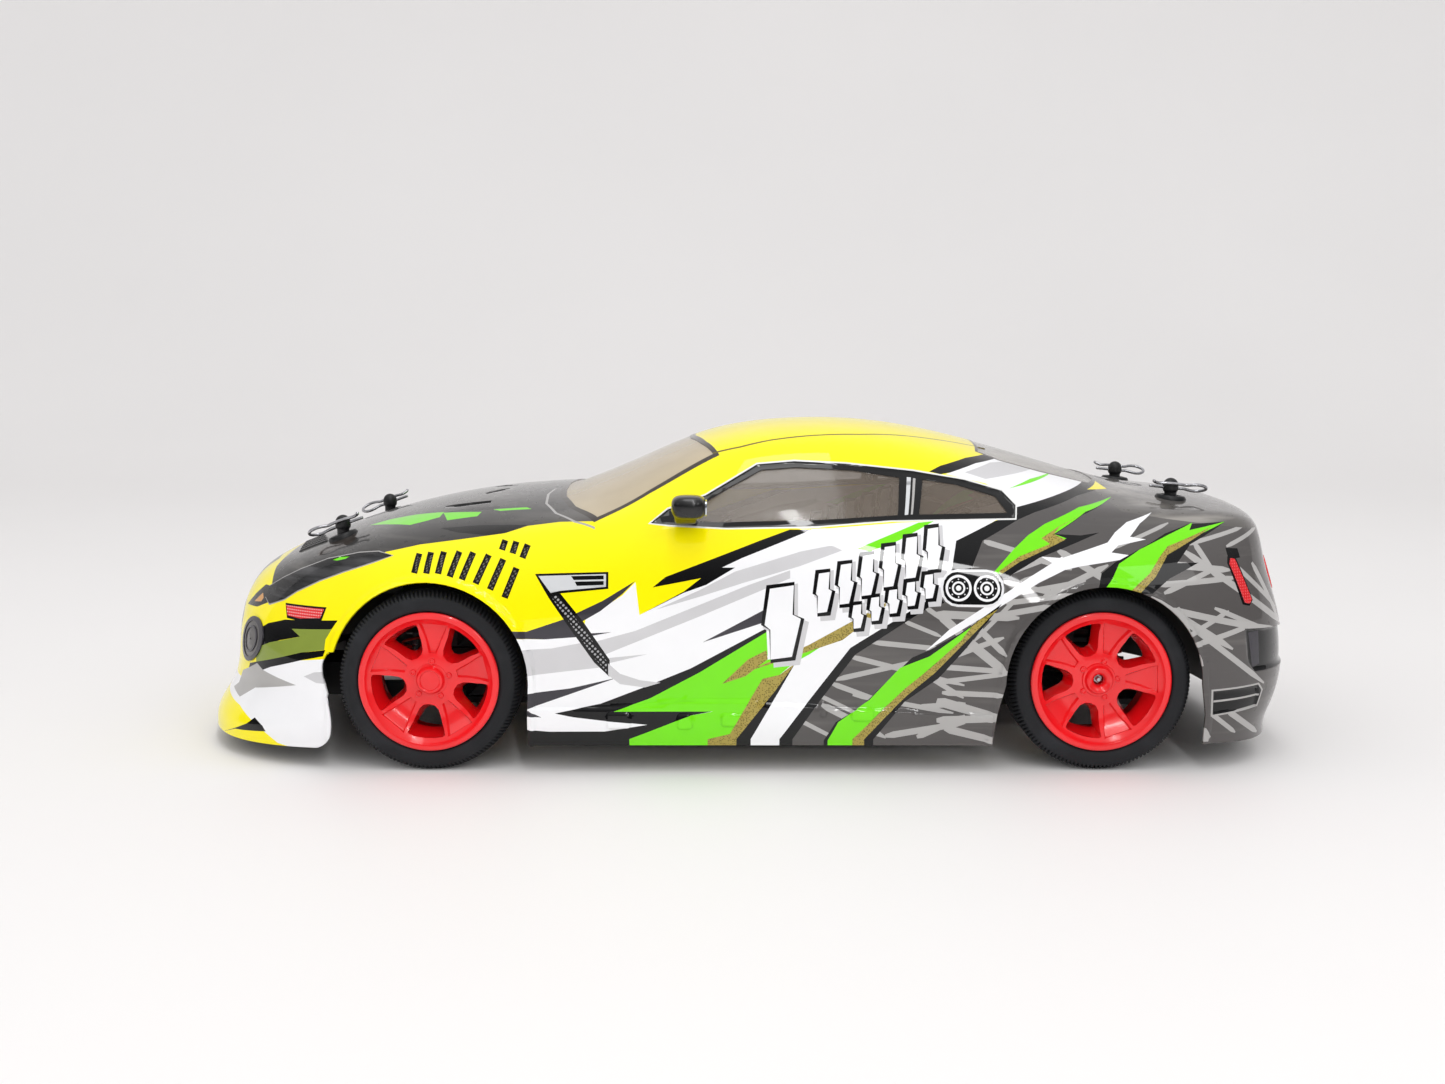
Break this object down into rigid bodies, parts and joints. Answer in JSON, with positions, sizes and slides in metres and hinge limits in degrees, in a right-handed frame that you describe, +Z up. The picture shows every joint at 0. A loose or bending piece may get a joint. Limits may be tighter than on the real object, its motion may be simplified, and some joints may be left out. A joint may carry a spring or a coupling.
{
  "type": "remote controlled drift car",
  "caption": "Scale model drift car: printed clip-on body shell over a plastic tub chassis with electric all-wheel drive, steering, spring dampers and spoked wheels.",
  "frame": {"origin": "on the ground under the middle of the overall box", "axes": "+X towards the car's left side, -Y towards its nose, +Z up; wheels straight, suspension at ride height, body down and clipped"},
  "size_m": [0.206, 0.4484, 0.1317],
  "materials": {
    "body_yellow": "gloss paint under clear thin polycarbonate",
    "black_plastic": "moulded, satin",
    "red_plastic": "gloss moulded",
    "tyre_rubber": "matte hard compound",
    "steel_wire": "bright drawn and turned steel",
    "grey_nylon": "fibre filled nylon",
    "motor_can": "plated can",
    "white_nylon": "natural nylon",
    "battery_wrap": "shrink wrap",
    "spring_steel": "coated spring steel",
    "damper_body": "moulded, semi gloss"
  },
  "bodies": {
    "chassis": {"chassis_tub": "black_plastic", "front_bumper": "black_plastic", "front_bulkhead": "grey_nylon", "rear_bulkhead": "grey_nylon", "motor": "motor_can", "battery_pack": "battery_wrap", "steering_servo": "black_plastic", "electronics_box": "black_plastic"},
    "drive_shaft": {"centre_shaft": "steel_wire", "spur_gear": "white_nylon"},
    "motor_pinion": {"motor_pinion": "steel_wire"},
    "power_switch": {"power_switch": "red_plastic"},
    "servo_saver": {"servo_saver": "white_nylon"},
    "left_tie_rod": {"left_tie_rod": "grey_nylon"},
    "right_tie_rod": {"right_tie_rod": "grey_nylon"},
    "body": {"body_shell": "body_yellow", "left_mirror": "black_plastic", "right_mirror": "black_plastic", "front_left_body_post": "black_plastic", "front_right_body_post": "black_plastic", "rear_left_body_post": "black_plastic", "rear_right_body_post": "black_plastic"},
    "front_left_lower_arm": {"front_left_lower_arm": "black_plastic"},
    "front_left_upper_arm": {"front_left_upper_arm": "black_plastic"},
    "front_left_hub": {"front_left_caster_block": "grey_nylon"},
    "front_left_knuckle": {"front_left_knuckle": "black_plastic"},
    "front_left_wheel": {"front_left_rim": "red_plastic", "front_left_tyre": "tyre_rubber"},
    "front_left_damper": {"front_left_damper_body": "damper_body", "front_left_damper_spring": "spring_steel"},
    "front_left_damper_rod": {"front_left_damper_rod": "steel_wire"},
    "front_left_clip": {"front_left_body_clip": "steel_wire"},
    "front_right_lower_arm": {"front_right_lower_arm": "black_plastic"},
    "front_right_upper_arm": {"front_right_upper_arm": "black_plastic"},
    "front_right_hub": {"front_right_caster_block": "grey_nylon"},
    "front_right_knuckle": {"front_right_knuckle": "black_plastic"},
    "front_right_wheel": {"front_right_rim": "red_plastic", "front_right_tyre": "tyre_rubber"},
    "front_right_damper": {"front_right_damper_body": "damper_body", "front_right_damper_spring": "spring_steel"},
    "front_right_damper_rod": {"front_right_damper_rod": "steel_wire"},
    "front_right_clip": {"front_right_body_clip": "steel_wire"},
    "rear_left_lower_arm": {"rear_left_lower_arm": "black_plastic"},
    "rear_left_upper_arm": {"rear_left_upper_arm": "black_plastic"},
    "rear_left_hub": {"rear_left_hub_carrier": "grey_nylon"},
    "rear_left_wheel": {"rear_left_rim": "red_plastic", "rear_left_tyre": "tyre_rubber"},
    "rear_left_damper": {"rear_left_damper_body": "damper_body", "rear_left_damper_spring": "spring_steel"},
    "rear_left_damper_rod": {"rear_left_damper_rod": "steel_wire"},
    "rear_left_clip": {"rear_left_body_clip": "steel_wire"},
    "rear_right_lower_arm": {"rear_right_lower_arm": "black_plastic"},
    "rear_right_upper_arm": {"rear_right_upper_arm": "black_plastic"},
    "rear_right_hub": {"rear_right_hub_carrier": "grey_nylon"},
    "rear_right_wheel": {"rear_right_rim": "red_plastic", "rear_right_tyre": "tyre_rubber"},
    "rear_right_damper": {"rear_right_damper_body": "damper_body", "rear_right_damper_spring": "spring_steel"},
    "rear_right_damper_rod": {"rear_right_damper_rod": "steel_wire"},
    "rear_right_clip": {"rear_right_body_clip": "steel_wire"}
  },
  "joints": [
    {"name": "rear_left_wheel_spin", "type": "hinge", "parent": "rear_left_hub", "child": "rear_left_wheel", "pos_m": [0.081, 0.138, 0.035], "axis": [1, 0, 0], "continuous": true},
    {"name": "front_left_suspension", "type": "hinge", "parent": "chassis", "child": "front_left_lower_arm", "pos_m": [0.022, -0.12, 0.022], "axis": [0, -1, 0], "range_deg": [-5, 5], "stiffness_Nm_per_rad": 3, "springref_deg": -1.72},
    {"name": "front_left_upper_link", "type": "hinge", "parent": "chassis", "child": "front_left_upper_arm", "pos_m": [0.022, -0.12, 0.048], "axis": [0, -1, 0], "range_deg": [-5, 5]},
    {"name": "front_left_hub_pivot", "type": "hinge", "parent": "front_left_lower_arm", "child": "front_left_hub", "pos_m": [0.056, -0.12, 0.022], "axis": [0, -1, 0], "range_deg": [-5, 5]},
    {"name": "front_left_damper_swing", "type": "hinge", "parent": "chassis", "child": "front_left_damper", "pos_m": [0.034, -0.135, 0.07], "axis": [0, -1, 0], "range_deg": [-0.1, 0.1]},
    {"name": "front_left_damper_stroke", "type": "slide", "parent": "front_left_damper", "child": "front_left_damper_rod", "axis": [-0.2747, 0, 0.9615], "range_m": [-0.0022, 0.0022], "deforming": ["front_left_damper_spring"]},
    {"name": "front_left_steer", "type": "hinge", "parent": "front_left_hub", "child": "front_left_knuckle", "pos_m": [0.062, -0.12, 0.035], "axis": [0, 0, 1], "range_deg": [-25, 25]},
    {"name": "front_left_wheel_spin", "type": "hinge", "parent": "front_left_knuckle", "child": "front_left_wheel", "pos_m": [0.081, -0.12, 0.035], "axis": [1, 0, 0], "continuous": true},
    {"name": "front_left_clip_pull", "type": "slide", "parent": "body", "child": "front_left_clip", "axis": [0, -0.9397, -0.342], "range_m": [0, 0.016]},
    {"name": "front_right_suspension", "type": "hinge", "parent": "chassis", "child": "front_right_lower_arm", "pos_m": [-0.022, -0.12, 0.022], "axis": [0, 1, 0], "range_deg": [-5, 5], "stiffness_Nm_per_rad": 3, "springref_deg": -1.72},
    {"name": "front_right_upper_link", "type": "hinge", "parent": "chassis", "child": "front_right_upper_arm", "pos_m": [-0.022, -0.12, 0.048], "axis": [0, 1, 0], "range_deg": [-5, 5]},
    {"name": "front_right_hub_pivot", "type": "hinge", "parent": "front_right_lower_arm", "child": "front_right_hub", "pos_m": [-0.056, -0.12, 0.022], "axis": [0, 1, 0], "range_deg": [-5, 5]},
    {"name": "front_right_damper_swing", "type": "hinge", "parent": "chassis", "child": "front_right_damper", "pos_m": [-0.034, -0.135, 0.07], "axis": [0, 1, 0], "range_deg": [-0.1, 0.1]},
    {"name": "front_right_damper_stroke", "type": "slide", "parent": "front_right_damper", "child": "front_right_damper_rod", "axis": [0.2747, 0, 0.9615], "range_m": [-0.0022, 0.0022], "deforming": ["front_right_damper_spring"]},
    {"name": "front_right_steer", "type": "hinge", "parent": "front_right_hub", "child": "front_right_knuckle", "pos_m": [-0.062, -0.12, 0.035], "axis": [0, 0, 1], "range_deg": [-25, 25]},
    {"name": "front_right_wheel_spin", "type": "hinge", "parent": "front_right_knuckle", "child": "front_right_wheel", "pos_m": [-0.081, -0.12, 0.035], "axis": [1, 0, 0], "continuous": true},
    {"name": "front_right_clip_pull", "type": "slide", "parent": "body", "child": "front_right_clip", "axis": [0, -0.9397, -0.342], "range_m": [0, 0.016]},
    {"name": "rear_left_suspension", "type": "hinge", "parent": "chassis", "child": "rear_left_lower_arm", "pos_m": [0.022, 0.138, 0.022], "axis": [0, -1, 0], "range_deg": [-5, 5], "stiffness_Nm_per_rad": 3, "springref_deg": -1.72},
    {"name": "rear_left_upper_link", "type": "hinge", "parent": "chassis", "child": "rear_left_upper_arm", "pos_m": [0.022, 0.138, 0.048], "axis": [0, -1, 0], "range_deg": [-5, 5]},
    {"name": "rear_left_hub_pivot", "type": "hinge", "parent": "rear_left_lower_arm", "child": "rear_left_hub", "pos_m": [0.056, 0.138, 0.022], "axis": [0, -1, 0], "range_deg": [-5, 5]},
    {"name": "rear_left_damper_swing", "type": "hinge", "parent": "chassis", "child": "rear_left_damper", "pos_m": [0.034, 0.153, 0.07], "axis": [0, -1, 0], "range_deg": [-0.1, 0.1]},
    {"name": "rear_left_damper_stroke", "type": "slide", "parent": "rear_left_damper", "child": "rear_left_damper_rod", "axis": [-0.2747, 0, 0.9615], "range_m": [-0.0022, 0.0022], "deforming": ["rear_left_damper_spring"]},
    {"name": "rear_left_clip_pull", "type": "slide", "parent": "body", "child": "rear_left_clip", "axis": [0, 0.9945, -0.1045], "range_m": [0, 0.016]},
    {"name": "rear_right_suspension", "type": "hinge", "parent": "chassis", "child": "rear_right_lower_arm", "pos_m": [-0.022, 0.138, 0.022], "axis": [0, 1, 0], "range_deg": [-5, 5], "stiffness_Nm_per_rad": 3, "springref_deg": -1.72},
    {"name": "rear_right_upper_link", "type": "hinge", "parent": "chassis", "child": "rear_right_upper_arm", "pos_m": [-0.022, 0.138, 0.048], "axis": [0, 1, 0], "range_deg": [-5, 5]},
    {"name": "rear_right_hub_pivot", "type": "hinge", "parent": "rear_right_lower_arm", "child": "rear_right_hub", "pos_m": [-0.056, 0.138, 0.022], "axis": [0, 1, 0], "range_deg": [-5, 5]},
    {"name": "rear_right_damper_swing", "type": "hinge", "parent": "chassis", "child": "rear_right_damper", "pos_m": [-0.034, 0.153, 0.07], "axis": [0, 1, 0], "range_deg": [-0.1, 0.1]},
    {"name": "rear_right_damper_stroke", "type": "slide", "parent": "rear_right_damper", "child": "rear_right_damper_rod", "axis": [0.2747, 0, 0.9615], "range_m": [-0.0022, 0.0022], "deforming": ["rear_right_damper_spring"]},
    {"name": "rear_right_wheel_spin", "type": "hinge", "parent": "rear_right_hub", "child": "rear_right_wheel", "pos_m": [-0.081, 0.138, 0.035], "axis": [1, 0, 0], "continuous": true},
    {"name": "rear_right_clip_pull", "type": "slide", "parent": "body", "child": "rear_right_clip", "axis": [0, 0.9945, -0.1045], "range_m": [0, 0.016]},
    {"name": "saver_swing", "type": "hinge", "parent": "chassis", "child": "servo_saver", "pos_m": [0, -0.091, 0.0444], "axis": [0, 0, 1], "range_deg": [-25, 25]},
    {"name": "left_tie_rod_swing", "type": "hinge", "parent": "servo_saver", "child": "left_tie_rod", "pos_m": [0, -0.077, 0.0524], "axis": [0, 0, 1], "range_deg": [-25, 25]},
    {"name": "right_tie_rod_swing", "type": "hinge", "parent": "servo_saver", "child": "right_tie_rod", "pos_m": [0, -0.077, 0.0492], "axis": [0, 0, 1], "range_deg": [-25, 25]},
    {"name": "shaft_spin", "type": "hinge", "parent": "chassis", "child": "drive_shaft", "pos_m": [0, 0.064, 0.0255], "axis": [0, 1, 0], "continuous": true},
    {"name": "pinion_spin", "type": "hinge", "parent": "chassis", "child": "motor_pinion", "pos_m": [-0.018, 0.064, 0.0255], "axis": [0, 1, 0], "continuous": true},
    {"name": "body_lift", "type": "slide", "parent": "chassis", "child": "body", "axis": [0, 0, 1], "range_m": [0, 0.12]},
    {"name": "switch_slide", "type": "slide", "parent": "chassis", "child": "power_switch", "axis": [0, 1, 0], "range_m": [0, 0.0045]}
  ],
  "couplings": [
    {"joint": "front_left_upper_link", "follows": "front_left_suspension", "ratio": 1},
    {"joint": "front_left_hub_pivot", "follows": "front_left_suspension", "ratio": -1},
    {"joint": "front_left_damper_swing", "follows": "front_left_suspension", "ratio": 0.0176},
    {"joint": "front_left_damper_stroke", "follows": "front_left_suspension", "m_per_rad": 0.0247},
    {"joint": "front_left_wheel_spin", "follows": "rear_left_wheel_spin", "ratio": 1},
    {"joint": "front_right_upper_link", "follows": "front_right_suspension", "ratio": 1},
    {"joint": "front_right_hub_pivot", "follows": "front_right_suspension", "ratio": -1},
    {"joint": "front_right_damper_swing", "follows": "front_right_suspension", "ratio": 0.0176},
    {"joint": "front_right_damper_stroke", "follows": "front_right_suspension", "m_per_rad": 0.0247},
    {"joint": "front_right_steer", "follows": "front_left_steer", "ratio": 1},
    {"joint": "front_right_wheel_spin", "follows": "rear_left_wheel_spin", "ratio": 1},
    {"joint": "rear_left_upper_link", "follows": "rear_left_suspension", "ratio": 1},
    {"joint": "rear_left_hub_pivot", "follows": "rear_left_suspension", "ratio": -1},
    {"joint": "rear_left_damper_swing", "follows": "rear_left_suspension", "ratio": 0.0176},
    {"joint": "rear_left_damper_stroke", "follows": "rear_left_suspension", "m_per_rad": 0.0247},
    {"joint": "rear_right_upper_link", "follows": "rear_right_suspension", "ratio": 1},
    {"joint": "rear_right_hub_pivot", "follows": "rear_right_suspension", "ratio": -1},
    {"joint": "rear_right_damper_swing", "follows": "rear_right_suspension", "ratio": 0.0176},
    {"joint": "rear_right_damper_stroke", "follows": "rear_right_suspension", "m_per_rad": 0.0247},
    {"joint": "rear_right_wheel_spin", "follows": "rear_left_wheel_spin", "ratio": 1},
    {"joint": "saver_swing", "follows": "front_left_steer", "ratio": 1},
    {"joint": "left_tie_rod_swing", "follows": "front_left_steer", "ratio": -1},
    {"joint": "right_tie_rod_swing", "follows": "front_left_steer", "ratio": -1},
    {"joint": "shaft_spin", "follows": "rear_left_wheel_spin", "ratio": 2.6},
    {"joint": "pinion_spin", "follows": "rear_left_wheel_spin", "ratio": -6.76}
  ]
}
